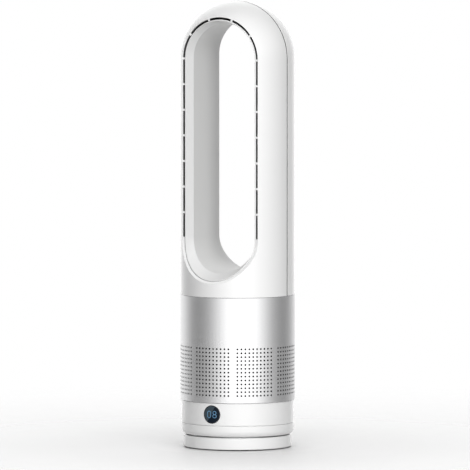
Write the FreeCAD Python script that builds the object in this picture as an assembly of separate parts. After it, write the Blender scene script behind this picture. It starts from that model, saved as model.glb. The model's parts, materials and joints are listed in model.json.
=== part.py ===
"""Bladeless tower fan: one STEP file per separate piece, in millimetres.

Frame: origin on the floor under the middle of the base, +Z up, the display and air outlet face -Y.
"""

import FreeCAD, Part
import math
import os

from FreeCAD import Vector

# ---- Driving dimensions -------------------------------------------------------------------------
HEIGHT = 820.0
BODY_RADIUS = 105.0          # intake band and head
CONTROL_RADIUS = 103.2       # white ring that carries the display
BASE_RADIUS = 99.0           # part that stays still on the floor

FOOT_HEIGHT = 2.0            # how far the rubber feet stand out under the base
BASE_TOP = 23.4
TOWER_BOTTOM = 26.2          # lowest edge of the part that swings
SKIRT_TOP = 45.2
CONTROL_BOTTOM = 46.2
CONTROL_TOP = 87.5
BAND_BOTTOM = 87.9
BAND_TOP = 280.7
HEAD_BOTTOM = 281.0
DOME_Z = HEIGHT - BODY_RADIUS

WALL = 2.5                   # moulded shells
FIT = 0.1                    # gap between pieces that are fixed to each other
EDGE = 0.6                   # rounding or bevel on the visible edges
PARTING_Y = -5.0             # plane between the front and the rear head shell
SEAM_GAP = 3.0               # open groove between those two shells

# Air outlet: a ring of slits round the through slot.
SLOT_RADIUS = 75.0           # middle line of the slits
SLOT_LOW_Z = 383.0           # centre of the slot's lower bend
OPENING_RADIUS = 77.0        # edge of the hole in the front shell
LIP_RADIUS = 73.0            # outer edge of the liner's front lip
SLITS_LOW_Z = 386.0
STRAIGHT_SLITS = 7
ARC_SLITS = 5
RIB = 3.8                    # solid bridge between two slits

# Intake perforation.
HOLE_RADIUS = 1.7
HOLE_ROWS = 13
HOLE_ROW_PITCH = 7.13
HOLE_FIRST_ROW_Z = 101.7
HOLE_GROUPS = 8
HOLE_COLUMNS = 10
HOLE_COLUMN_DEG = 4.0
BAND_WALL = 1.0

# Display.
DISPLAY_Z = 66.8
LENS_RADIUS = 15.4
BEZEL_RADIUS = 16.8
DIGIT_HEIGHT = 13.2
DIGIT_WIDTH = 8.0
DIGIT_STROKE = 1.2
DIGIT_SPACING = 11.1

# Swing drive: a fixed sun gear on the hub post and a motor that walks a pinion round it.
GEAR_MODULE = 1.25
SUN_TEETH = 48
PINION_TEETH = 12
GEAR_BOTTOM = 36.0
GEAR_TOP = 42.0
POST_RADIUS = 24.0
POST_BORE = 18.0
POST_TOP = 42.5
BALL_RADIUS = 2.0
BALL_CIRCLE = 82.0
BALL_Z = 24.8
BALL_COUNT = 24

# Blower.
SHAFT_RADIUS = 3.0
BLADES = 9
VANES = 11
BLOWER_BORE = 84.0
THROAT_RADIUS = 68.0
THROAT_Z = 206.0
SHROUD_TOP_Z = 246.0

UP = Vector(0, 0, 1)
PARTS = "parts"


# ---- Helpers ------------------------------------------------------------------------------------
def cylinder(radius, bottom, top, x=0.0, y=0.0):
    return Part.makeCylinder(radius, top - bottom, Vector(x, y, bottom))


def tube(outer, inner, bottom, top, x=0.0, y=0.0):
    return cylinder(outer, bottom, top, x, y).cut(cylinder(inner, bottom - 1, top + 1, x, y))


def box(x0, x1, y0, y1, z0, z1):
    return Part.makeBox(x1 - x0, y1 - y0, z1 - z0, Vector(x0, y0, z0))


def rod_along_y(radius, y0, y1, x, z):
    return Part.makeCylinder(radius, y1 - y0, Vector(x, y0, z), Vector(0, 1, 0))


def revolve(outline):
    """Solid of revolution about Z of a closed outline of (radius, z) points."""
    points = [Vector(r, 0, z) for r, z in outline]
    face = Part.Face(Part.makePolygon(points + points[:1]))
    return face.revolve(Vector(0, 0, 0), UP, 360)


def revolve_edges(edges):
    return Part.Face(Part.Wire(edges)).revolve(Vector(0, 0, 0), UP, 360)


def line(a, b):
    return Part.makeLine(a, b)


def arc(a, middle, b):
    return Part.Arc(a, middle, b).toShape()


def polar(radius, degrees, z=0.0):
    angle = math.radians(degrees)
    return Vector(radius * math.cos(angle), radius * math.sin(angle), z)


def turned(shape, degrees, centre=Vector(0, 0, 0)):
    copy = shape.copy()
    copy.rotate(centre, UP, degrees)
    return copy


def ring_of(shape, count, start=0.0):
    """Copies of a shape spread evenly round the Z axis."""
    return [turned(shape, start + 360.0 * i / count) for i in range(count)]


def fused(shapes):
    whole = shapes[0].fuse(shapes[1:]) if len(shapes) > 1 else shapes[0]
    return whole.removeSplitter()


def screw(x, y, tip_z, head_z, head_up, shank_radius=1.5):
    """Pan-head screw from its head's underside at head_z to its tip, with a cross recess."""
    head_height = 1.8
    low, high = sorted((tip_z, head_z))
    shank = cylinder(shank_radius, low, high, x, y)
    head_low = head_z if head_up else head_z - head_height
    head = cylinder(2 * shank_radius, head_low, head_low + head_height, x, y)
    recess_low = head_low + (0.8 if head_up else 0.0)
    arm, half = 1.8, 0.35
    cross = box(x - arm, x + arm, y - half, y + half, recess_low, recess_low + 1.0)
    cross = cross.fuse(box(x - half, x + half, y - arm, y + arm, recess_low, recess_low + 1.0))
    return shank.fuse(head).cut(cross).removeSplitter()


def envelope(radius, bottom=HEAD_BOTTOM):
    """Upright cylinder with a hemispherical top, the outer form of the head."""
    foot = Vector(0, 0, bottom)
    edge = Vector(radius, 0, bottom)
    shoulder = Vector(radius, 0, DOME_Z)
    slant = radius * math.sqrt(0.5)
    top = Vector(0, 0, DOME_Z + radius)
    return revolve_edges([
        line(foot, edge),
        line(edge, shoulder),
        arc(shoulder, Vector(slant, 0, DOME_Z + slant), top),
        line(top, foot),
    ])


def stadium_prism(radius, y0, y1, low_z=SLOT_LOW_Z):
    """Upright round-ended slot of the given half width, cut along Y."""
    low_right = Vector(radius, y0, low_z)
    high_right = Vector(radius, y0, DOME_Z)
    high_left = Vector(-radius, y0, DOME_Z)
    low_left = Vector(-radius, y0, low_z)
    wire = Part.Wire([
        line(low_right, high_right),
        arc(high_right, Vector(0, y0, DOME_Z + radius), high_left),
        line(high_left, low_left),
        arc(low_left, Vector(0, y0, low_z - radius), low_right),
    ])
    return Part.Face(wire).extrude(Vector(0, y1 - y0, 0))


# ---- Base, which stays still ---------------------------------------------------------------------
BOTTOM_PLATE_TOP = 5.5
DECK_BOTTOM = 19.6
FEET = 5
FOOT_CIRCLE = 84.0
FOOT_RADIUS = 7.8
FOOT_SEAT = 4.0
BASE_SCREW_CIRCLE = 91.0
CORD_Z = 12.6
CORD_BORE = 3.6
GROMMET_RADIUS = 5.4
RACE_INNER, RACE_OUTER = 78.0, 86.0
LOWER_RACE_BOTTOM = 21.9
REAR = 90.0                  # direction of the back, in degrees
FOOT_STEP = 360.0 / FEET


def base_screw_places():
    return [polar(BASE_SCREW_CIRCLE, REAR + FOOT_STEP * (i + 0.5)) for i in range(FEET)]


def base_shell():
    wall_inner = BASE_RADIUS - WALL
    edge = 1.2
    body = revolve([
        (wall_inner, FOOT_HEIGHT),
        (BASE_RADIUS - 0.8, FOOT_HEIGHT),
        (BASE_RADIUS, FOOT_HEIGHT + 0.8),
        (BASE_RADIUS, BASE_TOP - edge),
        (BASE_RADIUS - edge, BASE_TOP),
        (POST_RADIUS, BASE_TOP),
        (POST_RADIUS, POST_TOP),
        (POST_BORE, POST_TOP),
        (POST_BORE, BOTTOM_PLATE_TOP + FIT),
        (POST_RADIUS, BOTTOM_PLATE_TOP + FIT),
        (POST_RADIUS, DECK_BOTTOM),
        (wall_inner, DECK_BOTTOM),
    ])
    extras = [cylinder(4.0, BOTTOM_PLATE_TOP + FIT, DECK_BOTTOM + 1, p.x, p.y) for p in base_screw_places()]
    boss_inner_y = 86.0
    extras.append(box(-9, 9, boss_inner_y, wall_inner + 0.6, BOTTOM_PLATE_TOP + FIT, DECK_BOTTOM + 1))
    body = fused([body] + extras)
    cuts = [cylinder(1.6, 0, DECK_BOTTOM - 1, p.x, p.y) for p in base_screw_places()]
    cuts.append(rod_along_y(GROMMET_RADIUS + FIT, boss_inner_y - 1, BASE_RADIUS + 5, 0, CORD_Z))
    cuts.append(rod_along_y(8.0, 97.4, BASE_RADIUS + 5, 0, CORD_Z))
    cuts.append(tube(RACE_OUTER + FIT, RACE_INNER - FIT, LOWER_RACE_BOTTOM, BASE_TOP + 1))
    return body.cut(cuts)


def base_bottom():
    plate = cylinder(BASE_RADIUS - WALL - FIT, FOOT_HEIGHT, BOTTOM_PLATE_TOP)
    seat = cylinder(FOOT_RADIUS + FIT, FOOT_HEIGHT - 1, FOOT_SEAT, FOOT_CIRCLE, 0)
    cuts = ring_of(seat, FEET, REAR)
    for p in base_screw_places():
        cuts.append(cylinder(1.8, 0, BOTTOM_PLATE_TOP + 1, p.x, p.y))
        cuts.append(cylinder(3.4, 0, 4.4, p.x, p.y))
    return plate.cut(cuts)


def rubber_feet():
    edge = 0.8
    foot = revolve([
        (0, 0),
        (FOOT_RADIUS - edge, 0),
        (FOOT_RADIUS, edge),
        (FOOT_RADIUS, FOOT_SEAT),
        (0, FOOT_SEAT),
    ])
    foot.translate(Vector(FOOT_CIRCLE, 0, 0))
    return Part.Compound(ring_of(foot, FEET, REAR))


def base_screws():
    return Part.Compound([screw(p.x, p.y, 16.0, 4.4, False) for p in base_screw_places()])


def counterweight():
    low = BOTTOM_PLATE_TOP + FIT
    ring = tube(86.0, 32.0, low, low + 7.0)
    return ring.cut(box(-13, 13, 76, 90, low - 1, low + 9))


def cord_grommet():
    """Flanged rubber bush that guards the hole where the mains lead enters."""
    bush = rod_along_y(GROMMET_RADIUS, 86.0, 97.4, 0, CORD_Z)
    outer_flange = rod_along_y(7.8, 97.4, 99.0, 0, CORD_Z)
    inner_flange = rod_along_y(6.6, 84.4, 86.0, 0, CORD_Z)
    body = fused([bush, outer_flange, inner_flange])
    return body.cut(rod_along_y(CORD_BORE, 80.0, 105.0, 0, CORD_Z))


def race(bottom, top):
    """Steel ring with a round groove for the balls."""
    groove = Part.makeTorus(BALL_CIRCLE, BALL_RADIUS + FIT, Vector(0, 0, BALL_Z))
    return tube(RACE_OUTER, RACE_INNER, bottom, top).cut(groove)


def lower_race():
    return race(LOWER_RACE_BOTTOM, 24.0)


def retaining_ring():
    return tube(30.0, POST_RADIUS, 33.3, 35.3)


def gear(teeth, bore, bottom, top, x=0.0, y=0.0, turn_deg=0.0):
    """Spur gear with involute flanks; short teeth at 25 degrees, so a small pinion isn't undercut."""
    pressure = math.radians(25.0)
    backlash = 0.12
    pitch_r = GEAR_MODULE * teeth / 2.0
    base_r = pitch_r * math.cos(pressure)
    tip_r = pitch_r + 0.8 * GEAR_MODULE
    root_r = pitch_r - 1.0 * GEAR_MODULE
    half_tooth = (math.pi * GEAR_MODULE / 2.0 - backlash) / 2.0 / pitch_r
    involute = math.tan(pressure) - pressure

    def flank_angle(radius):
        if radius <= base_r:
            return half_tooth + involute
        roll = math.acos(base_r / radius)
        return half_tooth + involute - (math.tan(roll) - roll)

    def at(radius, angle):
        return Vector(radius * math.cos(angle), radius * math.sin(angle), bottom)

    low_r = max(base_r, root_r)
    flank_steps = 5
    radii = [low_r + (tip_r - low_r) * i / flank_steps for i in range(flank_steps + 1)]
    step = 2.0 * math.pi / teeth
    edges = []
    for i in range(teeth):
        mid = i * step + math.radians(turn_deg)
        rising = [at(r, mid - flank_angle(r)) for r in radii]
        falling = [at(r, mid + flank_angle(r)) for r in reversed(radii)]
        if root_r < low_r:
            edges.append(line(at(root_r, mid - flank_angle(root_r)), rising[0]))
        edges.append(spline(rising))
        edges.append(arc(rising[-1], at(tip_r, mid), falling[0]))
        edges.append(spline(falling))
        if root_r < low_r:
            edges.append(line(falling[-1], at(root_r, mid + flank_angle(root_r))))
        gap_start = mid + flank_angle(root_r)
        gap_end = mid + step - flank_angle(root_r)
        edges.append(arc(at(root_r, gap_start), at(root_r, (gap_start + gap_end) / 2), at(root_r, gap_end)))
    blank = Part.Face(Part.Wire(Part.__sortEdges__(edges))).extrude(Vector(0, 0, top - bottom))
    blank = blank.cut(cylinder(bore, bottom - 1, top + 1))
    blank.translate(Vector(x, y, 0))
    return blank


def spline(points):
    curve = Part.BSplineCurve()
    curve.interpolate(points)
    return curve.toShape()


PINION_Y = GEAR_MODULE * (SUN_TEETH + PINION_TEETH) / 2.0


def sun_gear():
    return gear(SUN_TEETH, POST_RADIUS, GEAR_BOTTOM, GEAR_TOP, turn_deg=REAR)


def drive_pinion():
    """Pinion and its shaft; a tooth gap faces the sun gear's tooth."""
    half_tooth_turn = 180.0 / PINION_TEETH
    wheel = gear(PINION_TEETH, 2.4, GEAR_BOTTOM, GEAR_TOP, 0, PINION_Y, -REAR + half_tooth_turn)
    shaft = cylinder(2.5, GEAR_BOTTOM - 1.0, 49.6, 0, PINION_Y)
    return fused([wheel, shaft])


# ---- Ball bearing between the base and the tower -------------------------------------------------
def thrust_balls():
    ball = Part.makeSphere(BALL_RADIUS, Vector(BALL_CIRCLE, 0, BALL_Z))
    return Part.Compound(ring_of(ball, BALL_COUNT))


def ball_cage():
    ring = tube(RACE_OUTER - 0.4, RACE_INNER + 0.4, 24.3, 25.3)
    pocket = cylinder(BALL_RADIUS + 0.15, 23, 27, BALL_CIRCLE, 0)
    return ring.cut(ring_of(pocket, BALL_COUNT))


# ---- Turntable and skirt -------------------------------------------------------------------------
TURNTABLE_TOP = 30.2
SKIRT_SCREW_CIRCLE = 92.0


def skirt_screw_places():
    return [polar(SKIRT_SCREW_CIRCLE, 45 + 90 * i) for i in range(4)]


def upper_race():
    return race(25.6, 27.9)


def turntable():
    collar_radius = 30.0
    plate = cylinder(96.8, TOWER_BOTTOM, TURNTABLE_TOP)
    collar = cylinder(collar_radius, TOWER_BOTTOM, 33.0)
    body = fused([plate, collar])
    cuts = [
        cylinder(POST_RADIUS + 0.1, TOWER_BOTTOM - 1, 34.0),
        tube(RACE_OUTER + FIT, RACE_INNER - FIT, TOWER_BOTTOM - 1, 27.9),
    ]
    cuts += [cylinder(1.6, TOWER_BOTTOM - 1, TURNTABLE_TOP + 1, p.x, p.y) for p in skirt_screw_places()]
    return body.cut(cuts)


def skirt_ring():
    """Lower ring of the tower: its outside rounds in towards the gap over the base."""
    low_radius = BASE_RADIUS + 0.5
    turn_z = TOWER_BOTTOM + 10.0
    drop = CONTROL_RADIUS - low_radius
    height = turn_z - TOWER_BOTTOM
    bend = (drop * drop + height * height) / (2.0 * drop)
    half_angle = math.asin(height / bend) / 2.0
    middle_radius = CONTROL_RADIUS - bend + bend * math.cos(half_angle)
    middle = Vector(middle_radius, 0, turn_z - bend * math.sin(half_angle))
    inner = CONTROL_RADIUS - WALL - 1.2
    tongue = CONTROL_RADIUS - WALL - 0.2
    flange_inner = 86.5
    points = [
        Vector(CONTROL_RADIUS, 0, turn_z),
        Vector(CONTROL_RADIUS, 0, SKIRT_TOP - EDGE),
        Vector(CONTROL_RADIUS - EDGE, 0, SKIRT_TOP),
        Vector(tongue, 0, SKIRT_TOP),
        Vector(tongue, 0, SKIRT_TOP + 5.0),
        Vector(tongue - 2.0, 0, SKIRT_TOP + 5.0),
        Vector(tongue - 2.0, 0, 42.0),
        Vector(inner - 1.5, 0, 38.0),
        Vector(inner - 1.5, 0, TURNTABLE_TOP + 2.0),
        Vector(flange_inner, 0, TURNTABLE_TOP + 2.0),
        Vector(flange_inner, 0, TURNTABLE_TOP),
        Vector(97.0, 0, TURNTABLE_TOP),
        Vector(97.0, 0, TOWER_BOTTOM),
        Vector(low_radius, 0, TOWER_BOTTOM),
    ]
    edges = [line(a, b) for a, b in zip(points, points[1:])]
    edges.append(arc(points[-1], middle, points[0]))
    ring = revolve_edges(edges)
    return ring.cut([cylinder(1.7, 28, 40, p.x, p.y) for p in skirt_screw_places()])


def skirt_screws():
    flange_top = TURNTABLE_TOP + 2.0
    return Part.Compound([screw(p.x, p.y, 27.0, flange_top, True) for p in skirt_screw_places()])


# ---- Swing motor ---------------------------------------------------------------------------------
BRACKET_BOTTOM, BRACKET_TOP = 44.0, 46.0
MOTOR_RADIUS = 17.5
MOTOR_TOP = 61.0
BRACKET_POSTS = [(-21.0, 52.0), (21.0, 52.0)]
MOTOR_SCREWS = [(-21.0, 37.5), (21.0, 37.5)]


def motor_bracket():
    plate = box(-27, 27, 25, 60, BRACKET_BOTTOM, BRACKET_TOP)
    posts = [cylinder(3.2, TURNTABLE_TOP, BRACKET_BOTTOM + 0.5, x, y) for x, y in BRACKET_POSTS]
    body = fused([plate] + posts)
    cuts = [cylinder(4.5, 40, 50, 0, PINION_Y)]
    cuts += [cylinder(1.6, 40, 50, x, y) for x, y in MOTOR_SCREWS]
    return body.cut(cuts)


def oscillation_motor():
    can = cylinder(MOTOR_RADIUS, BRACKET_TOP, MOTOR_TOP, 0, PINION_Y)
    can = can.makeFillet(1.2, [e for e in can.Edges if abs(e.BoundBox.ZMin - MOTOR_TOP) < 0.01])
    ears = box(-25, 25, PINION_Y - 3.5, PINION_Y + 3.5, BRACKET_TOP, BRACKET_TOP + 1.0)
    socket = box(-8, 8, PINION_Y + 14, PINION_Y + 21, BRACKET_TOP + 4, BRACKET_TOP + 11)
    body = fused([can, ears, socket])
    cuts = [cylinder(2.55, 40, BRACKET_TOP + 4, 0, PINION_Y)]
    cuts += [cylinder(1.7, 40, 50, x, y) for x, y in MOTOR_SCREWS]
    return body.cut(cuts)


def motor_screws():
    return Part.Compound([screw(x, y, 42.6, BRACKET_TOP + 1.0, True) for x, y in MOTOR_SCREWS])


# ---- Electronics and display ---------------------------------------------------------------------
TRAY_BOTTOM, TRAY_TOP = 63.0, 65.0
BOARD_BOTTOM, BOARD_TOP = 68.0, 69.6


def electronics_tray():
    plate = cylinder(84.0, TRAY_BOTTOM, TRAY_TOP)
    legs = [cylinder(3.5, TURNTABLE_TOP, TRAY_BOTTOM + 0.5, p.x, p.y) for p in
            (polar(76.0, 45 + 90 * i) for i in range(4))]
    pegs = [cylinder(2.5, TRAY_TOP - 0.5, BOARD_BOTTOM, x, y) for x in (-45, 45) for y in (-25, 35)]
    body = fused([plate] + legs + pegs)
    return body.cut(cylinder(12.0, 60, 70))


def power_board():
    board = box(-52, 52, -32, 42, BOARD_BOTTOM, BOARD_TOP)
    return board.cut([cylinder(1.6, 60, 75, x, y) for x in (-45, 45) for y in (-25, 35)])


def power_components():
    """Transformer, capacitors, coil, heat sink and sockets that stand on the power board."""
    items = [box(-40, -16, -22, 4, BOARD_TOP, BOARD_TOP + 11.5)]
    items += [cylinder(5.0, BOARD_TOP, BOARD_TOP + 11.0, x, y) for x, y in ((0, -20), (13, -20), (27, -18))]
    items += [tube(8.0, 3.5, BOARD_TOP, BOARD_TOP + 7.0, -30, 24)]
    fins = [box(14, 40, y, y + 1.5, BOARD_TOP, BOARD_TOP + 10.0) for y in (2, 7, 12)]
    items += [fused(fins + [box(14, 40, 2, 13.5, BOARD_TOP, BOARD_TOP + 2.0)])]
    items += [box(x, x + 12, 28, 35, BOARD_TOP, BOARD_TOP + 6.0) for x in (-8, 8, 24)]
    return Part.Compound(items)


def screen_slab(radius, inner, outer):
    """Round slab, seen from the front, whose faces follow the control ring."""
    rod = rod_along_y(radius, -BODY_RADIUS - 5, -80, 0, DISPLAY_Z)
    return rod.common(tube(outer, inner, DISPLAY_Z - 25, DISPLAY_Z + 25))


def display_bezel():
    ring = screen_slab(BEZEL_RADIUS, CONTROL_RADIUS - WALL, CONTROL_RADIUS + 0.5)
    return ring.cut(rod_along_y(LENS_RADIUS + FIT, -BODY_RADIUS - 5, -80, 0, DISPLAY_Z))


DIGIT_DEPTH = 0.4
LENS_FACE = CONTROL_RADIUS + 0.1


def round_bar(x, z, width, height, y0=-BODY_RADIUS - 5, y1=-80.0):
    """Upright prism along Y with a round-cornered outline, centred on x, z."""
    corner = min(width, height) / 2.0 - 0.01
    slab = box(x - width / 2, x + width / 2, y0, y1, z - height / 2, z + height / 2)
    return slab.makeFillet(corner, [e for e in slab.Edges if e.BoundBox.YLength > 1])


def loop(x, z, width, height):
    inner = round_bar(x, z, width - 2 * DIGIT_STROKE, height - 2 * DIGIT_STROKE)
    return round_bar(x, z, width, height).cut(inner)


def digit_prisms():
    """Outlines of a nought and an eight."""
    left, right = -DIGIT_SPACING / 2, DIGIT_SPACING / 2
    nought = loop(left, DISPLAY_Z, DIGIT_WIDTH, DIGIT_HEIGHT)
    half = (DIGIT_HEIGHT + DIGIT_STROKE) / 2.0
    upper = loop(right, DISPLAY_Z + (DIGIT_HEIGHT - half) / 2, DIGIT_WIDTH - 0.8, half)
    lower = loop(right, DISPLAY_Z - (DIGIT_HEIGHT - half) / 2, DIGIT_WIDTH, half)
    return [nought, fused([upper, lower])]


def display_digits():
    skin = tube(LENS_FACE, LENS_FACE - DIGIT_DEPTH, DISPLAY_Z - 15, DISPLAY_Z + 15)
    return Part.Compound([d.common(skin) for d in digit_prisms()])


def display_lens():
    lens = screen_slab(LENS_RADIUS, CONTROL_RADIUS - WALL + 0.2, LENS_FACE)
    return lens.cut(display_digits().Solids)


def display_board():
    board = box(-21, 21, -94.5, -93.0, 51.5, 82.0)
    module = box(-14, 14, -99.2, -94.5, DISPLAY_Z - 11, DISPLAY_Z + 11)
    return Part.Compound([board, module])


def control_screw_places():
    return [polar(95.0, 45 * (2 * i + 1)) for i in range(4)]


def control_housing():
    inner = CONTROL_RADIUS - WALL
    flange = 2.5
    body = revolve([
        (inner, CONTROL_BOTTOM),
        (CONTROL_RADIUS - EDGE, CONTROL_BOTTOM),
        (CONTROL_RADIUS, CONTROL_BOTTOM + EDGE),
        (CONTROL_RADIUS, CONTROL_TOP - EDGE),
        (CONTROL_RADIUS - EDGE, CONTROL_TOP),
        (86.0, CONTROL_TOP),
        (86.0, CONTROL_TOP - flange),
        (inner, CONTROL_TOP - flange),
    ])
    cuts = [rod_along_y(BEZEL_RADIUS + FIT, -BODY_RADIUS - 5, -80, 0, DISPLAY_Z)]
    cuts += [cylinder(1.7, 80, 90, p.x, p.y) for p in control_screw_places()]
    return body.cut(cuts)


def chamber_floor():
    top = CONTROL_TOP - 2.5
    return cylinder(90.5, top - 2.2, top).cut(cylinder(8.0, top - 5, top + 1, 0, 60))


# ---- Intake ---------------------------------------------------------------------------------------
FRAME_OUTER = BODY_RADIUS - BAND_WALL - 0.6
FRAME_TOP = 270.0
CAGE_BOTTOM, CAGE_TOP = 96.0, 195.0
MOUNT_CIRCLE = 88.9
COLLAR_SCREW_CIRCLE = 96.2
DRUM_WALL = 3.2


def collar_screw_places():
    return [polar(COLLAR_SCREW_CIRCLE, 45 * (2 * i + 1)) for i in range(4)]


def intake_frame():
    """Cage behind the perforations, and the drum above it that holds the blower."""
    foot_flange = tube(FRAME_OUTER, 90.8, CONTROL_TOP + FIT, 91.0)
    foot_ring = tube(FRAME_OUTER, 98.0, CONTROL_TOP + FIT, CAGE_BOTTOM)
    foot_bosses = [cylinder(4.0, CONTROL_TOP + FIT, CAGE_BOTTOM, p.x, p.y) for p in control_screw_places()]
    post = box(98.0, FRAME_OUTER - 0.3, -4.5, 4.5, CAGE_BOTTOM - 1, CAGE_TOP + 1)
    posts = ring_of(post, HOLE_GROUPS, 180.0 / HOLE_GROUPS)
    shelf = tube(FRAME_OUTER, 88.0, CAGE_TOP, CAGE_TOP + 3.0)
    drum = tube(FRAME_OUTER, FRAME_OUTER - DRUM_WALL, CAGE_TOP, FRAME_TOP)
    lug = box(87.0, FRAME_OUTER - 2.0, -6.0, 6.0, 254.0, 258.5)
    bosses = [cylinder(4.5, 250.0, FRAME_TOP, p.x, p.y) for p in collar_screw_places()]
    body = fused([foot_flange, foot_ring, shelf, drum] + foot_bosses + posts + ring_of(lug, 4) + bosses)
    cuts = [cylinder(1.6, CONTROL_TOP - 1, 97.0, p.x, p.y) for p in control_screw_places()]
    cuts += [cylinder(1.6, 252.0, FRAME_TOP + 1, p.x, p.y) for p in collar_screw_places()]
    return body.cut(cuts)


def frame_screws():
    under_flange = CONTROL_TOP - 2.5
    return Part.Compound([screw(p.x, p.y, 94.5, under_flange, False) for p in control_screw_places()])


def intake_band():
    """Aluminium sleeve with eight blocks of drilled holes."""
    inner = BODY_RADIUS - BAND_WALL
    bevel = 0.3
    sleeve = revolve([
        (inner, BAND_BOTTOM),
        (BODY_RADIUS - bevel, BAND_BOTTOM),
        (BODY_RADIUS, BAND_BOTTOM + bevel),
        (BODY_RADIUS, BAND_TOP - bevel),
        (BODY_RADIUS - bevel, BAND_TOP),
        (inner, BAND_TOP),
    ])
    drills = []
    for group in range(HOLE_GROUPS):
        for column in range(HOLE_COLUMNS):
            offset = (column - (HOLE_COLUMNS - 1) / 2.0) * HOLE_COLUMN_DEG
            outward = polar(1.0, 360.0 / HOLE_GROUPS * group + offset)
            for row in range(HOLE_ROWS):
                z = HOLE_FIRST_ROW_Z + row * HOLE_ROW_PITCH
                start = outward * (inner - 3.0) + Vector(0, 0, z)
                drills.append(Part.makeCylinder(HOLE_RADIUS, BAND_WALL + 6.0, start, outward))
    return sleeve.cut(drills)


def dust_screen():
    return tube(97.6, 96.8, CAGE_BOTTOM + 0.5, CAGE_TOP - 0.5)


# ---- Blower ---------------------------------------------------------------------------------------
def shroud_radius(z):
    share = (z - THROAT_Z) / (SHROUD_TOP_Z - THROAT_Z)
    return THROAT_RADIUS + (BLOWER_BORE - THROAT_RADIUS) * share


def inlet_bellmouth():
    wall = 2.0
    shelf = CAGE_TOP + 3.0 + FIT
    return revolve([
        (THROAT_RADIUS, THROAT_Z - 0.2),
        (THROAT_RADIUS + 0.8, THROAT_Z - 4.0),
        (THROAT_RADIUS + 4.0, shelf + 1.6),
        (THROAT_RADIUS + 10.0, shelf + 0.2),
        (THROAT_RADIUS + 16.0, shelf),
        (100.0, shelf),
        (100.0, shelf + wall),
        (THROAT_RADIUS + 11.0, shelf + wall),
        (THROAT_RADIUS + 6.0, shelf + wall + 1.4),
        (THROAT_RADIUS + 3.0, THROAT_Z - 3.0),
        (THROAT_RADIUS + wall, THROAT_Z - 0.2),
    ])


BLOWER_TOP = 266.0


def blower_housing():
    wall = 2.2
    return revolve([
        (THROAT_RADIUS, THROAT_Z),
        (BLOWER_BORE, SHROUD_TOP_Z),
        (BLOWER_BORE, BLOWER_TOP),
        (91.5, BLOWER_TOP),
        (91.5, BLOWER_TOP - 2.5),
        (BLOWER_BORE + wall, BLOWER_TOP - 2.5),
        (BLOWER_BORE + wall, SHROUD_TOP_Z),
        (THROAT_RADIUS + wall + 0.4, THROAT_Z),
    ])


def vibration_mounts():
    mount = tube(2.6, 1.2, 258.5, BLOWER_TOP - 2.5, MOUNT_CIRCLE, 0)
    return Part.Compound(ring_of(mount, 4))


def duct_seal():
    return tube(91.4, 85.0, BLOWER_TOP + FIT, 270.4)


HUB_LOW_Z, HUB_TOP_Z = 207.0, 242.0


def hub_radius(z):
    share = (z - HUB_LOW_Z) / (HUB_TOP_Z - HUB_LOW_Z)
    return 20.0 + 36.0 * share


def twisted_blade(low_z, high_z, inner_of, outer_of, sweep_deg, thickness, sections=6):
    """Blade lofted through upright strips that turn as they rise."""
    wires = []
    for i in range(sections):
        share = i / (sections - 1.0)
        z = low_z + (high_z - low_z) * share
        turn = sweep_deg * share * (1.6 - 0.6 * share)
        inner, outer, half = inner_of(z), outer_of(z), thickness / 2.0
        corners = [(inner, -half), (outer, -half), (outer, half), (inner, half)]
        corners = [Vector(x, y, z) for x, y in corners]
        strip = Part.makePolygon(corners + corners[:1])
        strip.rotate(Vector(0, 0, 0), UP, turn)
        wires.append(strip)
    return Part.makeLoft(wires, True, True)


def impeller():
    hub = revolve([
        (SHAFT_RADIUS, HUB_LOW_Z - 1.0),
        (13.0, HUB_LOW_Z - 1.0),
        (20.0, HUB_LOW_Z + 1.0),
        (56.0, HUB_TOP_Z),
        (56.0, HUB_TOP_Z + 1.6),
        (52.6, HUB_TOP_Z + 1.6),
        (20.0, HUB_LOW_Z + 6.0),
        (9.0, HUB_LOW_Z + 6.0),
        (9.0, HUB_TOP_Z),
        (SHAFT_RADIUS, HUB_TOP_Z),
    ])
    blade = twisted_blade(HUB_LOW_Z + 2.5, HUB_TOP_Z - 0.5, lambda z: hub_radius(z) - 1.8,
                          lambda z: shroud_radius(z) - 1.0, 52.0, 1.6)
    return fused([hub] + ring_of(blade, BLADES))


def motor_shaft():
    return cylinder(SHAFT_RADIUS, 200.0, 268.0)


def impeller_nut():
    flats = 5.5
    corners = [polar(flats / math.cos(math.radians(30)), 60 * i, HUB_LOW_Z - 4.5) for i in range(6)]
    nut = Part.Face(Part.makePolygon(corners + corners[:1])).extrude(Vector(0, 0, 3.5))
    return nut.cut(cylinder(SHAFT_RADIUS, 195, 210))


BUCKET_RADIUS = 56.0
BUCKET_FLOOR = 244.6
BUCKET_TOP = 268.0


def diffuser():
    """Motor bucket with guide vanes that reach the blower's wall."""
    bucket = revolve([
        (7.2, BUCKET_FLOOR),
        (BUCKET_RADIUS, BUCKET_FLOOR),
        (BUCKET_RADIUS, BUCKET_TOP),
        (BUCKET_RADIUS - 2.0, BUCKET_TOP),
        (BUCKET_RADIUS - 2.0, BUCKET_FLOOR + 2.0),
        (7.2, BUCKET_FLOOR + 2.0),
    ])
    vane = twisted_blade(248.0, 265.5, lambda z: BUCKET_RADIUS - 1.0, lambda z: BLOWER_BORE - FIT, -18.0, 1.8)
    return fused([bucket] + ring_of(vane, VANES))


def diffuser_cap():
    """Rounded cover over the motor."""
    radius = BUCKET_RADIUS
    rise = 20.0
    bend = (radius * radius + rise * rise) / (2.0 * rise)
    low = BUCKET_TOP + FIT

    def dome(outer, height, floor):
        sphere = Part.makeSphere(outer, Vector(0, 0, floor + height - outer))
        return sphere.common(cylinder(BUCKET_RADIUS + 5, floor, floor + height + 1))

    outside = dome(bend, rise, low).common(cylinder(radius, low - 1, low + rise + 1))
    inside = dome(bend, rise, low - 2.0).common(cylinder(radius - 2.0, low - 3, low + rise + 1))
    return outside.cut(inside)


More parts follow.
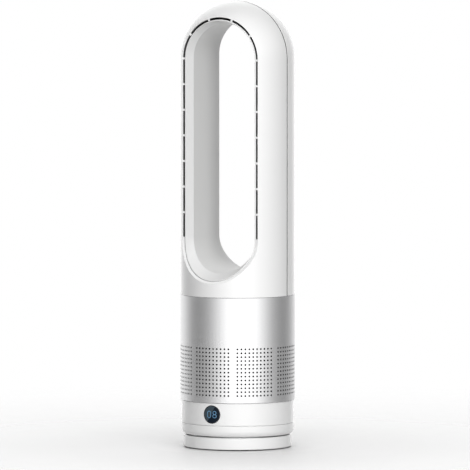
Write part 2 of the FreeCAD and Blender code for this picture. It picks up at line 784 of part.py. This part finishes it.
def bearing_tube():
    """Brass tube on the bucket's floor that holds both bearings and the stator."""
    return revolve([
        (5.6, BUCKET_FLOOR + 1.0),
        (7.0, BUCKET_FLOOR + 1.0),
        (7.0, BUCKET_FLOOR + 2.1),
        (14.0, BUCKET_FLOOR + 2.1),
        (14.0, BUCKET_FLOOR + 3.6),
        (7.0, BUCKET_FLOOR + 3.6),
        (7.0, 265.0),
        (5.6, 265.0),
    ])


def motor_bearings():
    lower = tube(5.6, SHAFT_RADIUS + 0.05, 246.5, 250.5)
    upper = tube(5.6, SHAFT_RADIUS + 0.05, 260.5, 264.5)
    return Part.Compound([lower, upper])


def motor_stator():
    """Laminated star with nine poles."""
    core = tube(11.0, 7.1, 250.5, 261.5)
    arm = box(10.0, 19.0, -2.2, 2.2, 250.5, 261.5)
    shoe = tube(21.5, 18.5, 250.5, 261.5)
    slots = ring_of(box(17, 24, -1.0, 1.0, 249, 263), 9, 20.0)
    return fused([core] + ring_of(arm, 9)).fuse(shoe.cut(slots)).removeSplitter()


def motor_windings():
    """Copper coil round each stator pole."""
    coil = box(11.6, 17.9, -4.0, 4.0, 249.6, 262.4).cut(box(11, 19, -2.3, 2.3, 250.4, 261.6))
    return Part.Compound(ring_of(coil.common(cylinder(18.2, 240, 270)), 9))


def motor_rotor():
    """Steel cup with magnets that turns round the stator, fixed to the shaft at its top."""
    return revolve([
        (SHAFT_RADIUS, 265.6),
        (22.4, 265.6),
        (22.4, 249.6),
        (25.4, 249.6),
        (25.4, 267.4),
        (SHAFT_RADIUS, 267.4),
    ])


# ---- Head -----------------------------------------------------------------------------------------
COLLAR_OUTER = BODY_RADIUS - WALL - 0.3


def head_collar():
    return revolve([
        (84.0, 270.5),
        (103.2, 270.5),
        (103.2, 273.5),
        (COLLAR_OUTER, 273.5),
        (COLLAR_OUTER, 296.0),
        (COLLAR_OUTER - 2.5, 296.0),
        (COLLAR_OUTER - 2.5, 273.5),
        (84.0, 273.5),
    ]).cut([cylinder(1.7, 265, 275, p.x, p.y) for p in collar_screw_places()])


def collar_screws():
    return Part.Compound([screw(p.x, p.y, 256.0, 273.5, True) for p in collar_screw_places()])


def head_skin(outer, inner, y0, y1):
    far = BODY_RADIUS + 10.0
    slab = box(-far, far, y0, y1, HEAD_BOTTOM - 5, HEIGHT + 10)
    return envelope(outer).cut(envelope(inner, HEAD_BOTTOM - 5)).common(slab)


def is_sharp(shape, edge):
    faces = shape.ancestorsOfType(edge, Part.Face)
    if len(faces) != 2:
        return False
    middle = edge.valueAt((edge.FirstParameter + edge.LastParameter) / 2)
    normals = [face.normalAt(*face.Surface.parameter(middle)) for face in faces]
    return abs(normals[0].dot(normals[1])) < 0.99


def is_outside(edge):
    """Whether an edge lies on the head's outer form."""
    middle = edge.valueAt((edge.FirstParameter + edge.LastParameter) / 2)
    centre = Vector(0, 0, min(middle.z, DOME_Z))
    return abs(middle.distanceToPoint(centre) - BODY_RADIUS) < 0.01


def outside_rounded(shape):
    return shape.makeFillet(EDGE, [e for e in shape.Edges if is_outside(e) and is_sharp(shape, e)])


def front_shell():
    skin = head_skin(BODY_RADIUS, BODY_RADIUS - WALL, -BODY_RADIUS - 5, PARTING_Y - SEAM_GAP / 2)
    return outside_rounded(skin.cut(stadium_prism(OPENING_RADIUS, -BODY_RADIUS - 5, 0)))


REAR_OPENING_RADIUS = 77.8


def rear_shell():
    """Back half of the head, with a ledge that reaches in behind the front shell."""
    start = PARTING_Y + SEAM_GAP / 2
    inner = BODY_RADIUS - WALL
    skin = head_skin(BODY_RADIUS, inner, start, BODY_RADIUS + 5)
    root = head_skin(inner, inner - 1.8, start, start + 6.0)
    ledge = head_skin(inner - 0.3, inner - 1.8, start - 9.0, start)
    body = fused([skin, root, ledge])
    body = body.cut(stadium_prism(REAR_OPENING_RADIUS, 0, BODY_RADIUS + 5))
    return outside_rounded(body.cut(cylinder(COLLAR_OUTER + 0.15, HEAD_BOTTOM - 1, 296.3)))


def shell_gasket():
    """Strip that fills the groove between the two head shells and keeps the duct airtight."""
    recess = 0.4
    ledge_outer = BODY_RADIUS - WALL - 0.3
    half = SEAM_GAP / 2 - FIT
    return head_skin(BODY_RADIUS - recess, ledge_outer + FIT, PARTING_Y - half, PARTING_Y + half)


# The liner's wall passes through stations, each a stadium outline bent onto a curved surface. From
# the crease behind the front lip to the rear edge, a station's depth is a share of that distance.
CREASE_RADIUS = 65.0
CREASE_LOW_Z = 388.2
CREASE_DEPTH = 32.8
LIP_SURFACE = 100.8
REAR_SURFACE = 104.7
LINER_WALL = 2.2
LIP_ROUNDING = 1.0


def depth_on(radius, setback=0.0):
    return lambda x: setback - math.sqrt(radius ** 2 - x * x)


def between(share):
    crease_y = depth_on(BODY_RADIUS, CREASE_DEPTH)

    def rear_y(x):
        return math.sqrt(REAR_SURFACE ** 2 - x * x)

    return lambda x: crease_y(x) + (rear_y(x) - crease_y(x)) * share


def flare(share):
    """How much wider the slot is than at its crease, as a share of the whole flare."""
    waist = -0.1 * math.sin(math.pi * min(share / 0.75, 1.0))
    return waist + max(0.0, (share - 0.35) / 0.65) ** 3


def liner_stations():
    """(half width, centre height of the lower bend, depth) from behind the lip to the rear edge."""
    stations = [(LIP_RADIUS - LINER_WALL, SLOT_LOW_Z, depth_on(LIP_SURFACE, LIP_ROUNDING))]
    rear_widening = 10.5
    steps = 8
    for i in range(steps + 1):
        share = i / float(steps)
        widening = rear_widening * flare(share)
        low_z = CREASE_LOW_Z + (SLOT_LOW_Z - CREASE_LOW_Z) * widening / rear_widening
        stations.append((CREASE_RADIUS + widening, low_z, between(share)))
    return stations


def stadium_edges(radius, low_z, depth_at):
    """Right side, top bend, left side and lower bend of a stadium, pushed to the depth at each x."""
    y = depth_at(radius)
    low_right = Vector(radius, y, low_z)
    high_right = Vector(radius, y, DOME_Z)
    high_left = Vector(-radius, y, DOME_Z)
    low_left = Vector(-radius, y, low_z)
    bend_steps = 24
    bend = [low_left]
    for i in range(1, bend_steps):
        angle = math.pi * (1.0 + i / float(bend_steps))
        x = radius * math.cos(angle)
        bend.append(Vector(x, depth_at(x), low_z + radius * math.sin(angle)))
    bend.append(low_right)
    return [
        line(low_right, high_right),
        arc(high_right, Vector(0, y, DOME_Z + radius), high_left),
        line(high_left, low_left),
        spline(bend),
    ]


def wall_through(stations):
    """Solid wall whose closed cross-section passes through the stations, in order."""
    rings = [stadium_edges(*station) for station in stations]
    faces = []
    for near, far in zip(rings, rings[1:] + rings[:1]):
        for a, b in zip(near, far):
            faces.append(Part.makeRuledSurface(a, b))
    shell = Part.makeShell(faces)
    shell.sewShape()
    solid = Part.makeSolid(shell)
    if solid.Volume < 0:
        solid.reverse()
    return solid


def slot_liner():
    """Wall of the through slot: its inside passes through the stations, its outside stands off them."""
    inner = liner_stations()
    outer = [(r + LINER_WALL, z, depth) for r, z, depth in inner]
    return wall_through(inner + outer[::-1] + lip_edge())


def lip_edge():
    """Rounded front edge of the liner, from its outer to its inner side."""
    corner = 0.3 * LIP_ROUNDING
    crest = depth_on(LIP_SURFACE)
    shoulder = depth_on(LIP_SURFACE, corner)
    lip_inner = LIP_RADIUS - LINER_WALL
    return [
        (LIP_RADIUS - corner, SLOT_LOW_Z, shoulder),
        (LIP_RADIUS - LIP_ROUNDING, SLOT_LOW_Z, crest),
        (lip_inner + LIP_ROUNDING, SLOT_LOW_Z, crest),
        (lip_inner + corner, SLOT_LOW_Z, shoulder),
    ]


def nozzle_ring():
    """Strip between the front shell's opening and the liner's lip, open at the slits, on a hidden rail."""
    outer_edge, inner_edge = OPENING_RADIUS - FIT, LIP_RADIUS + 0.2
    outer_surface, inner_surface = BODY_RADIUS - 1.0, BODY_RADIUS - 4.0
    thickness = 5.0
    strip = wall_through([
        (outer_edge, SLOT_LOW_Z, depth_on(outer_surface)),
        (inner_edge, SLOT_LOW_Z, depth_on(inner_surface)),
        (inner_edge, SLOT_LOW_Z, depth_on(inner_surface, thickness)),
        (outer_edge, SLOT_LOW_Z, depth_on(outer_surface, thickness)),
    ])
    rail_inner, rail_outer = OPENING_RADIUS - 1.0, OPENING_RADIUS + 3.5
    front = -BODY_RADIUS - 5
    rail = head_skin(BODY_RADIUS - WALL - 0.3, BODY_RADIUS - 7.0, front, 0)
    rail = rail.common(stadium_prism(rail_outer, front, 0)).cut(stadium_prism(rail_inner, front, 0))
    return fused([strip, rail]).cut(slit_tools(inner_edge - 0.5, outer_edge))


def slit_tools(inner, outer):
    """Straight slits up both sides, then the slits round the top bend."""
    front = -BODY_RADIUS - 5
    pitch = (DOME_Z - SLITS_LOW_Z) / STRAIGHT_SLITS
    tools = []
    for i in range(STRAIGHT_SLITS):
        low = SLITS_LOW_Z + i * pitch + RIB / 2
        high = SLITS_LOW_Z + (i + 1) * pitch - RIB / 2
        tools.append(box(inner, outer, front, 0, low, high))
        tools.append(box(-outer, -inner, front, 0, low, high))
    step = 180.0 / ARC_SLITS
    rib_angle = math.degrees(RIB / SLOT_RADIUS)
    for i in range(ARC_SLITS):
        tools.append(ring_sector(inner, outer, i * step + rib_angle / 2, (i + 1) * step - rib_angle / 2))
    return tools


def ring_sector(inner, outer, start_deg, end_deg):
    """Piece of a ring round the top bend's centre, cut along Y."""
    front = -BODY_RADIUS - 5

    def at(radius, degrees):
        angle = math.radians(degrees)
        return Vector(radius * math.cos(angle), front, DOME_Z + radius * math.sin(angle))

    middle = (start_deg + end_deg) / 2
    wire = Part.Wire([
        line(at(inner, start_deg), at(outer, start_deg)),
        arc(at(outer, start_deg), at(outer, middle), at(outer, end_deg)),
        line(at(outer, end_deg), at(inner, end_deg)),
        arc(at(inner, end_deg), at(inner, middle), at(inner, start_deg)),
    ])
    return Part.Face(wire).extrude(Vector(0, -front, 0))


# ---- Export ---------------------------------------------------------------------------------------
PIECES = [
    base_shell, base_bottom, rubber_feet, base_screws, counterweight, cord_grommet, lower_race,
    retaining_ring, sun_gear, thrust_balls, ball_cage, turntable, upper_race, skirt_ring, skirt_screws,
    motor_bracket, oscillation_motor, motor_screws, drive_pinion, electronics_tray, power_board,
    power_components, display_board, display_bezel, display_lens, display_digits, control_housing,
    chamber_floor, intake_frame, frame_screws, intake_band, dust_screen, inlet_bellmouth,
    blower_housing, vibration_mounts, duct_seal, impeller, motor_shaft, impeller_nut, diffuser,
    diffuser_cap, bearing_tube, motor_bearings, motor_stator, motor_windings, motor_rotor,
    head_collar, collar_screws, front_shell, rear_shell, shell_gasket, slot_liner, nozzle_ring,
]


def main():
    os.makedirs(PARTS, exist_ok=True)
    for make in PIECES:
        shape = make()
        volumes = [round(s.Volume, 1) for s in shape.Solids]
        if not shape.isValid() or not volumes or min(volumes) <= 0:
            raise RuntimeError("%s is not made of sound solids: %s" % (make.__name__, volumes))
        shape.exportStep("%s/%s.step" % (PARTS, make.__name__))
        print("%-20s %2d solids %12.1f mm3" % (make.__name__, len(volumes), sum(volumes)))


main()
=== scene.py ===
import json
import math

import bpy
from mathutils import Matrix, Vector


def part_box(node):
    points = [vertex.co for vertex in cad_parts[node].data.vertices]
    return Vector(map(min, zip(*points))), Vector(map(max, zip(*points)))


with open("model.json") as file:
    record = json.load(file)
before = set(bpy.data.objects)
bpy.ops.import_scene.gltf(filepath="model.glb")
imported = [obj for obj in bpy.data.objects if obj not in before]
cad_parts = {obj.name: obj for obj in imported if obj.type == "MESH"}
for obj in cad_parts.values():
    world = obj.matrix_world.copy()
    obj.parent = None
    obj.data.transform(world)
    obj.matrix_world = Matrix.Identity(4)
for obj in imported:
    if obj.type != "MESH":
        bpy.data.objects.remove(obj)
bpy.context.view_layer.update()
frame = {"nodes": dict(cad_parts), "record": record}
nodes = frame["nodes"]

# ---- Camera ---------------------------------------------------------------------------------------
AZIMUTH = math.radians(27.3)    # how far to the right of straight in front
ELEVATION = math.radians(4.2)
DISTANCE = 20.0
VIEW_WIDTH = 0.8632             # metres across the picture, at the fan
AIM_RIGHT = -0.0049             # where the picture's middle lies from the fan's foot
AIM_UP = 0.3880
SENSOR = 36.0


def outward(azimuth, elevation):
    """Unit vector from the fan towards a place round it; azimuth 0 is straight in front."""
    flat = math.cos(elevation)
    return Vector((math.sin(azimuth) * flat, -math.cos(azimuth) * flat, math.sin(elevation)))


right = Vector((math.cos(AZIMUTH), math.sin(AZIMUTH), 0))
back = outward(AZIMUTH, ELEVATION)
up = back.cross(right)
camera_data = bpy.data.cameras.new("camera")
camera_data.sensor_width = SENSOR
camera_data.lens = SENSOR * DISTANCE / VIEW_WIDTH
camera_data.clip_start = 0.1
camera_data.clip_end = 100.0
camera = bpy.data.objects.new("camera", camera_data)
bpy.context.scene.collection.objects.link(camera)
camera.location = right * AIM_RIGHT + up * AIM_UP + back * DISTANCE
camera.rotation_mode = "QUATERNION"
camera.rotation_quaternion = back.to_track_quat("Z", "Y")
bpy.context.scene.camera = camera
bpy.context.scene.view_settings.view_transform = "Standard"


# ---- Node helpers ---------------------------------------------------------------------------------
class Nodes:
    """Short way to add and link shader nodes in one tree."""

    def __init__(self, tree):
        self.tree = tree
        tree.nodes.clear()

    def add(self, kind, inputs=None, **settings):
        node = self.tree.nodes.new("ShaderNode" + kind)
        for name, value in settings.items():
            setattr(node, name, value)
        for key, value in (inputs or {}).items():
            self.put(value, node.inputs[key])
        return node

    def put(self, value, socket):
        if isinstance(value, bpy.types.NodeSocket):
            self.tree.links.new(value, socket)
        else:
            socket.default_value = value

    def math(self, operation, a, b=0.0):
        return self.add("Math", {0: a, 1: b}, operation=operation).outputs[0]

    def ramp(self, factor, stops):
        node = self.add("ValToRGB", {0: factor})
        elements = node.color_ramp.elements
        while len(elements) < len(stops):
            elements.new(0.5)
        for element, (position, colour) in zip(elements, stops):
            element.position = position
            element.color = (*colour, 1)
        return node.outputs[0]

    def mix(self, factor, a, b):
        """Colour a where the factor is 0, colour b where it is 1."""
        node = self.add("Mix", data_type="RGBA")
        self.put(factor, node.inputs[0])
        self.put(a, node.inputs[6])
        self.put(b, node.inputs[7])
        return node.outputs[2]

    def spread(self, value, low, high, to_low, to_high):
        return self.add("MapRange", {0: value, 1: low, 2: high, 3: to_low, 4: to_high}).outputs[0]


def grey(value):
    return (value, value, value)


def new_tree(name):
    made = bpy.data.materials.new(name)
    made.use_nodes = True
    return made, Nodes(made.node_tree)


def object_point(t):
    return t.add("TexCoord").outputs["Object"]


def noise(t, point, scale, detail=2.0):
    return t.add("TexNoise", {"Vector": point, "Scale": scale, "Detail": detail}).outputs["Fac"]


# ---- Where painted shade darkens the head's inner faces and slot ----------------------------------
head_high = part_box("rear_shell")[1]
liner_low, liner_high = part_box("slot_liner")
HEAD_RADIUS = head_high.x
DOME_Z = head_high.z - HEAD_RADIUS
SLOT_BEND_Z = liner_low.z + liner_high.x
SHELL_SHADE_DEPTH = 0.0024            # how deep under the head's outside the white reaches; further in, faces get painted shade
RING_SHADE_DEPTH = 0.0026
LIP_SHADE_DEPTH = 0.0072
CREASE_DEPTH = 0.0328           # from the head's front back to the crease in the slot's wall, where darker painted shade begins
SHADE_EDGE = 0.0001             # over which one colour gives way to painted shade
FRONTWARD = (-0.35, -0.30)      # a normal's Y, where a face stops counting as a front face
DUCTWARD = (0.30, 0.36)         # a normal's share away from the slot, where the duct side begins
# Near-black painted shade on faces inside the head, in the duct and down the slits.
INSIDE_PAINTED_SHADE = (0.10, 0.10, 0.102, 1.0)


def square(t, value):
    return t.math("MULTIPLY", value, value)


def head_point(t):
    """Squared distance sideways or up from the head's round centre line, and Y."""
    split = t.add("SeparateXYZ", {0: object_point(t)})
    rise = t.math("MAXIMUM", t.math("SUBTRACT", split.outputs[2], DOME_Z), 0.0)
    return t.math("ADD", square(t, split.outputs[0]), square(t, rise)), split.outputs[1]


def buried(t, depth):
    """1 on whatever lies deeper than this under the head's outside, 0 nearer to it."""
    across, y = head_point(t)
    reach = t.math("SQRT", t.math("ADD", across, square(t, y)))
    limit = HEAD_RADIUS - depth
    return t.spread(reach, limit - SHADE_EDGE, limit, 1.0, 0.0)


def behind_face(t, depth):
    """1 further back than this, measured straight back from the head's round front."""
    across, y = head_point(t)
    face = t.math("SQRT", t.math("MAXIMUM", t.math("SUBTRACT", HEAD_RADIUS ** 2, across), 0.0))
    return t.spread(t.math("ADD", y, face), depth, depth + SHADE_EDGE, 0.0, 1.0)


def behind_front(t):
    """1 on every face that does not look to the front."""
    split = t.add("SeparateXYZ", {0: t.add("TexCoord").outputs["Normal"]})
    return t.spread(split.outputs[1], *FRONTWARD, 0.0, 1.0)


# Masks of the faces that get the near-black painted shade.
def shell_inside(t):
    return buried(t, SHELL_SHADE_DEPTH)


def ring_inside(t):
    return t.math("MULTIPLY", buried(t, RING_SHADE_DEPTH), behind_front(t))


def liner_outside(t):
    """1 on the faces of the slot liner that look away from the slot, into the duct."""
    split = t.add("SeparateXYZ", {0: object_point(t)})
    above = t.math("MAXIMUM", t.math("SUBTRACT", split.outputs[2], DOME_Z), 0.0)
    below = t.math("MINIMUM", t.math("SUBTRACT", split.outputs[2], SLOT_BEND_Z), 0.0)
    spoke = t.add("CombineXYZ", {0: split.outputs[0], 1: 0.0, 2: t.math("ADD", above, below)})
    spoke_way = t.add("VectorMath", {0: spoke.outputs[0]}, operation="NORMALIZE").outputs["Vector"]
    normal = t.add("TexCoord").outputs["Normal"]
    facing = t.add("VectorMath", {0: normal, 1: spoke_way}, operation="DOT_PRODUCT").outputs["Value"]
    away = t.spread(facing, *DUCTWARD, 0.0, 1.0)
    hidden = t.math("MULTIPLY", behind_face(t, LIP_SHADE_DEPTH), behind_front(t))
    return t.math("MULTIPLY", away, hidden)


def surface(name, colour, rough, drift=0.02, rough_drift=0.04, grain=1800.0, grain_depth=0.000002,
            cloud=9.0, deeper=None, shade_mask=None, **sockets):
    """Moulded or cast finish: faint colour drift, uneven polish and a fine surface grain.

    An optional distance behind the head's front, with a darker colour, paints shade from there on, and an
    optional mask marks the faces painted near-black as shade.
    """
    made, t = new_tree(name)
    point = object_point(t)
    drifting = noise(t, point, cloud, 3.0)
    low = [max(0.0, c * (1 - drift)) for c in colour]
    high = [min(1.0, c * (1 + drift)) for c in colour]
    tint = t.ramp(drifting, [(0.3, low), (0.7, high)])
    # Painted shade: from the given distance behind the head's front the colour turns darker.
    if deeper:
        tint = t.mix(behind_face(t, deeper[0]), tint, (*deeper[1], 1.0))
    # Near-black painted shade over the masked faces.
    if shade_mask:
        tint = t.mix(shade_mask(t), tint, INSIDE_PAINTED_SHADE)
    uneven = noise(t, point, cloud * 3, 3.0)
    polish = t.spread(uneven, 0.3, 0.7, rough - rough_drift, rough + rough_drift)
    bump = t.add("Bump", {"Height": noise(t, point, grain), "Distance": grain_depth, "Strength": 1.0})
    shader = t.add("BsdfPrincipled", {"Base Color": tint, "Roughness": polish, "Normal": bump.outputs[0]})
    for socket, value in sockets.items():
        shader.inputs[socket.replace("_", " ")].default_value = value
    t.add("OutputMaterial", {0: shader.outputs[0]})
    return made


SCRATCH_LENGTH = 0.6            # stretches the scratches round the axis
SCRATCH_HEIGHT = 60.0           # and packs them closely up it


def brushed(name, colour, rough):
    """Sheet metal brushed round the Z axis, with fine scratches that run the same way."""
    made, t = new_tree(name)
    x, y, z = t.add("SeparateXYZ", {0: object_point(t)}).outputs
    around = t.math("MULTIPLY", t.math("ARCTAN2", y, x), SCRATCH_LENGTH)
    along = t.math("MULTIPLY", z, SCRATCH_HEIGHT)
    wrapped = t.add("CombineXYZ", {0: around, 1: along, 2: 0.0})
    fine = noise(t, wrapped.outputs[0], 26.0, 3.0)
    broad = noise(t, wrapped.outputs[0], 3.0)
    tint = t.ramp(fine, [(0.3, [c * 0.95 for c in colour]), (0.7, colour)])
    polish = t.spread(t.math("ADD", fine, broad), 0.6, 1.4, rough - 0.02, rough + 0.03)
    bump = t.add("Bump", {"Height": fine, "Distance": 0.000006, "Strength": 0.5})
    tangent = t.add("Tangent", direction_type="RADIAL", axis="Z")
    shader = t.add("BsdfPrincipled", {"Base Color": tint, "Metallic": 1.0, "Roughness": polish,
                                      "Anisotropic": 0.75, "Tangent": tangent.outputs[0],
                                      "Normal": bump.outputs[0]})
    t.add("OutputMaterial", {0: shader.outputs[0]})
    return made


PAINTED_REFLECTION_SLANT = -0.55             # how far the painted reflection's edge leans as it rises
# where the painted reflection's edge lies across the lens
PAINTED_REFLECTION_EDGE = (-0.0392, -0.0376)


def smoked_lens_with_painted_reflection(name):
    """Smoked display window; a painted reflection's diagonal edge splits its colour into a lighter and a
    darker half.
    """
    made, t = new_tree(name)
    point = object_point(t)
    split = t.add("SeparateXYZ", {0: point})
    diagonal = t.math("ADD", split.outputs[0], t.math("MULTIPLY", split.outputs[2], PAINTED_REFLECTION_SLANT))
    side = t.spread(diagonal, *PAINTED_REFLECTION_EDGE, 0.0, 1.0)
    dust = noise(t, point, 900.0, 3.0)
    mixed = t.math("ADD", side, t.math("MULTIPLY", dust, 0.08))
    # the lighter colour is the painted reflection, the darker one the smoked lens
    tint = t.ramp(mixed, [(0.0, (0.050, 0.070, 0.085)), (1.0, (0.003, 0.008, 0.016))])
    shader = t.add("BsdfPrincipled", {"Base Color": tint, "Roughness": 0.12, "Specular IOR Level": 0.10,
                                      "Coat Weight": 0.12, "Coat Roughness": 0.03})
    t.add("OutputMaterial", {0: shader.outputs[0]})
    return made


def lit_digits(name):
    """Blue light guide, a little uneven along its strokes."""
    made, t = new_tree(name)
    uneven = noise(t, object_point(t), 260.0)
    glow = t.ramp(uneven, [(0.3, (0.05, 0.12, 0.20)), (0.7, (0.08, 0.17, 0.27))])
    shader = t.add("BsdfPrincipled", {"Base Color": glow, "Roughness": 0.3, "Emission Color": glow,
                                      "Emission Strength": 0.8})
    t.add("OutputMaterial", {0: shader.outputs[0]})
    return made


THREADS_AROUND = 240.0          # radians of wave in a radian round the axis
THREADS_UP = 2600.0             # radians of wave in a metre


def woven_mesh(name):
    """Fine dark dust screen: crossing threads with shadowed gaps."""
    made, t = new_tree(name)
    x, y, z = t.add("SeparateXYZ", {0: object_point(t)}).outputs
    around = t.math("SINE", t.math("MULTIPLY", t.math("ARCTAN2", y, x), THREADS_AROUND))
    along = t.math("SINE", t.math("MULTIPLY", z, THREADS_UP))
    thread = t.math("MAXIMUM", t.math("ABSOLUTE", around), t.math("ABSOLUTE", along))
    tint = t.ramp(thread, [(0.55, grey(0.002)), (0.9, grey(0.012))])
    bump = t.add("Bump", {"Height": thread, "Distance": 0.0003, "Strength": 0.7})
    shader = t.add("BsdfPrincipled", {"Base Color": tint, "Roughness": 0.7, "Normal": bump.outputs[0]})
    t.add("OutputMaterial", {0: shader.outputs[0]})
    return made


WHITE = (0.863, 0.863, 0.861)
# The lip and the slot's wall are greyer than the shell's white: painted shade in the slot, darkest behind
# the crease.
LIP_PAINTED_SHADE = (0.77, 0.77, 0.768)
SLOT_WALL_PAINTED_SHADE = (0.64, 0.64, 0.636)
GLOSS = {"drift": 0.004, "rough_drift": 0.01, "Coat_Weight": 1.0, "Coat_Roughness": 0.12}
SATIN = {"drift": 0.006, "rough_drift": 0.02}
looks = {
    "shell_white": surface("shell_white", WHITE, 0.30, **GLOSS),
    # slot liner: painted shade, greyer on the lip and darker again behind the crease
    "liner_white": surface("liner_white", LIP_PAINTED_SHADE, 0.42, deeper=(CREASE_DEPTH, SLOT_WALL_PAINTED_SHADE),
                           shade_mask=liner_outside, **SATIN),
    "brushed_aluminium": brushed("brushed_aluminium", (0.83, 0.83, 0.835), 0.30),
    "lens_black": smoked_lens_with_painted_reflection("lens_black"),
    "bezel_black": surface("bezel_black", (0.012, 0.013, 0.015), 0.22, drift=0.1, Coat_Weight=0.6),
    "digit_blue": lit_digits("digit_blue"),
    "dark_plastic": surface("dark_plastic", (0.02, 0.02, 0.021), 0.5, drift=0.15),
    "grey_plastic": surface("grey_plastic", (0.25, 0.255, 0.26), 0.45, drift=0.06),
    "acetal": surface("acetal", (0.78, 0.76, 0.69), 0.4, drift=0.03),
    "screen_mesh": woven_mesh("screen_mesh"),
    "rubber": surface("rubber", grey(0.015), 0.75, drift=0.2, grain=900.0, grain_depth=0.00008),
    "steel": surface("steel", (0.55, 0.56, 0.57), 0.28, drift=0.05, Metallic=1.0),
    "iron": surface("iron", (0.05, 0.05, 0.052), 0.7, drift=0.2, grain=500.0, grain_depth=0.0003,
                    Metallic=0.6),
    "brass": surface("brass", (0.72, 0.50, 0.20), 0.3, drift=0.06, Metallic=1.0),
    "copper": surface("copper", (0.60, 0.22, 0.09), 0.35, drift=0.1, Metallic=1.0),
    "board_green": surface("board_green", (0.01, 0.08, 0.035), 0.35, drift=0.15, cloud=120.0),
    "component_black": surface("component_black", (0.015, 0.015, 0.016), 0.45, drift=0.2),
}
# Shells and nozzle ring: near-black painted shade on their faces inside the head.
head_shell = surface("head_shell", WHITE, 0.30, shade_mask=shell_inside, **GLOSS)
special = {
    "front_shell": head_shell,
    "rear_shell": head_shell,
    "nozzle_ring": surface("nozzle_ring", WHITE, 0.42, shade_mask=ring_inside, **SATIN),
}
for part in frame["record"]["subparts"]:
    for place in nodes[part["node"]].material_slots:
        place.material = special.get(part["node"], looks[part["material_slot"]])


# ---- Floor, world and lights ----------------------------------------------------------------------
FLOOR_RADIUS = 3.0
FLOOR_CLEAR = 1.3               # distance from the fan at which the floor has dissolved
FLOOR_BOUNCE = (0.42, 0.42, 0.42, 1.0)
bpy.ops.mesh.primitive_circle_add(vertices=96, radius=FLOOR_RADIUS, fill_type="NGON", location=(0, 0, 0))
floor = bpy.context.object
floor.name = "floor"


def floor_look():
    """Pale studio floor that dissolves into the white surroundings away from the fan."""
    made, t = new_tree("floor")
    point = object_point(t)
    distance = t.add("VectorMath", {0: point}, operation="LENGTH").outputs["Value"]
    tint = t.ramp(noise(t, point, 3.0), [(0.3, grey(0.74)), (0.7, grey(0.76))])
    bounce = t.mix(t.add("LightPath").outputs["Is Diffuse Ray"], tint, FLOOR_BOUNCE)
    shader = t.add("BsdfPrincipled", {"Base Color": bounce, "Roughness": 0.5})
    clear = t.add("BsdfTransparent")
    fade = t.ramp(t.math("DIVIDE", distance, FLOOR_CLEAR), [
        (0.075, grey(0.0)), (0.13, grey(0.28)), (0.38, grey(0.66)), (1.0, grey(1.0))])
    mixed = t.add("MixShader", {0: fade, 1: shader.outputs[0], 2: clear.outputs[0]})
    t.add("OutputMaterial", {0: mixed.outputs[0]})
    return made


floor.data.materials.append(floor_look())


KEY_TURN = math.radians(8.0)     # how far to the right of the camera the surroundings are brightest


def studio_world():
    """White surroundings; what lights the fan is bright in front and behind and darker at the sides."""
    world = bpy.data.worlds.new("studio")
    bpy.context.scene.world = world
    world.use_nodes = True
    t = Nodes(world.node_tree)
    toward_key = outward(AZIMUTH + KEY_TURN, 0.0)
    direction = t.add("TexCoord").outputs["Generated"]
    facing = t.add("VectorMath", {0: direction, 1: toward_key}, operation="DOT_PRODUCT").outputs["Value"]
    share = t.spread(facing, -1.0, 1.0, 0.0, 1.0)
    mirrored = t.ramp(share, [
        (0.0, grey(1.3)), (0.10, grey(1.15)), (0.22, grey(0.58)), (0.40, grey(0.21)), (0.60, grey(0.27)),
        (0.75, grey(0.49)), (0.86, grey(1.0)), (0.93, grey(1.4)), (1.0, grey(1.6))])
    filled = t.ramp(share, [
        (0.0, grey(0.50)), (0.16, grey(0.30)), (0.34, grey(0.12)), (0.60, grey(0.12)), (1.0, grey(0.55))])
    height = t.add("SeparateXYZ", {0: direction}).outputs[2]
    strength = t.spread(height, 0.0, 0.9, 0.05, 1.8)
    seen = t.add("Background", {0: (1, 1, 1, 1), 1: 1.0})
    gloss = t.add("Background", {0: mirrored, 1: 1.0})
    fill = t.add("Background", {0: filled, 1: strength})
    path = t.add("LightPath")
    lit = t.add("MixShader", {0: path.outputs["Is Diffuse Ray"], 1: gloss.outputs[0], 2: fill.outputs[0]})
    mixed = t.add("MixShader", {0: path.outputs["Is Camera Ray"], 1: lit.outputs[0], 2: seen.outputs[0]})
    t.add("OutputWorld", {0: mixed.outputs[0]})


studio_world()


def softbox(name, azimuth, elevation, distance, width, height, power, aim_z):
    """Soft area light that lights the fan but isn't mirrored in it; angles in degrees."""
    data = bpy.data.lights.new(name, "AREA")
    data.shape = "RECTANGLE"
    data.size = width
    data.size_y = height
    data.energy = power
    lamp = bpy.data.objects.new(name, data)
    lamp.visible_glossy = False
    bpy.context.scene.collection.objects.link(lamp)
    way = outward(math.radians(azimuth), math.radians(elevation))
    lamp.location = Vector((0, 0, aim_z)) + way * distance
    lamp.rotation_mode = "QUATERNION"
    lamp.rotation_quaternion = way.to_track_quat("Z", "Y")


softbox("key", azimuth=36, elevation=17, distance=2.4, width=2.2, height=2.6, power=60, aim_z=0.18)
softbox("top", azimuth=20, elevation=78, distance=2.0, width=1.4, height=1.4, power=4, aim_z=0.42)
softbox("back", azimuth=214, elevation=32, distance=2.4, width=2.2, height=1.8, power=32, aim_z=0.42)
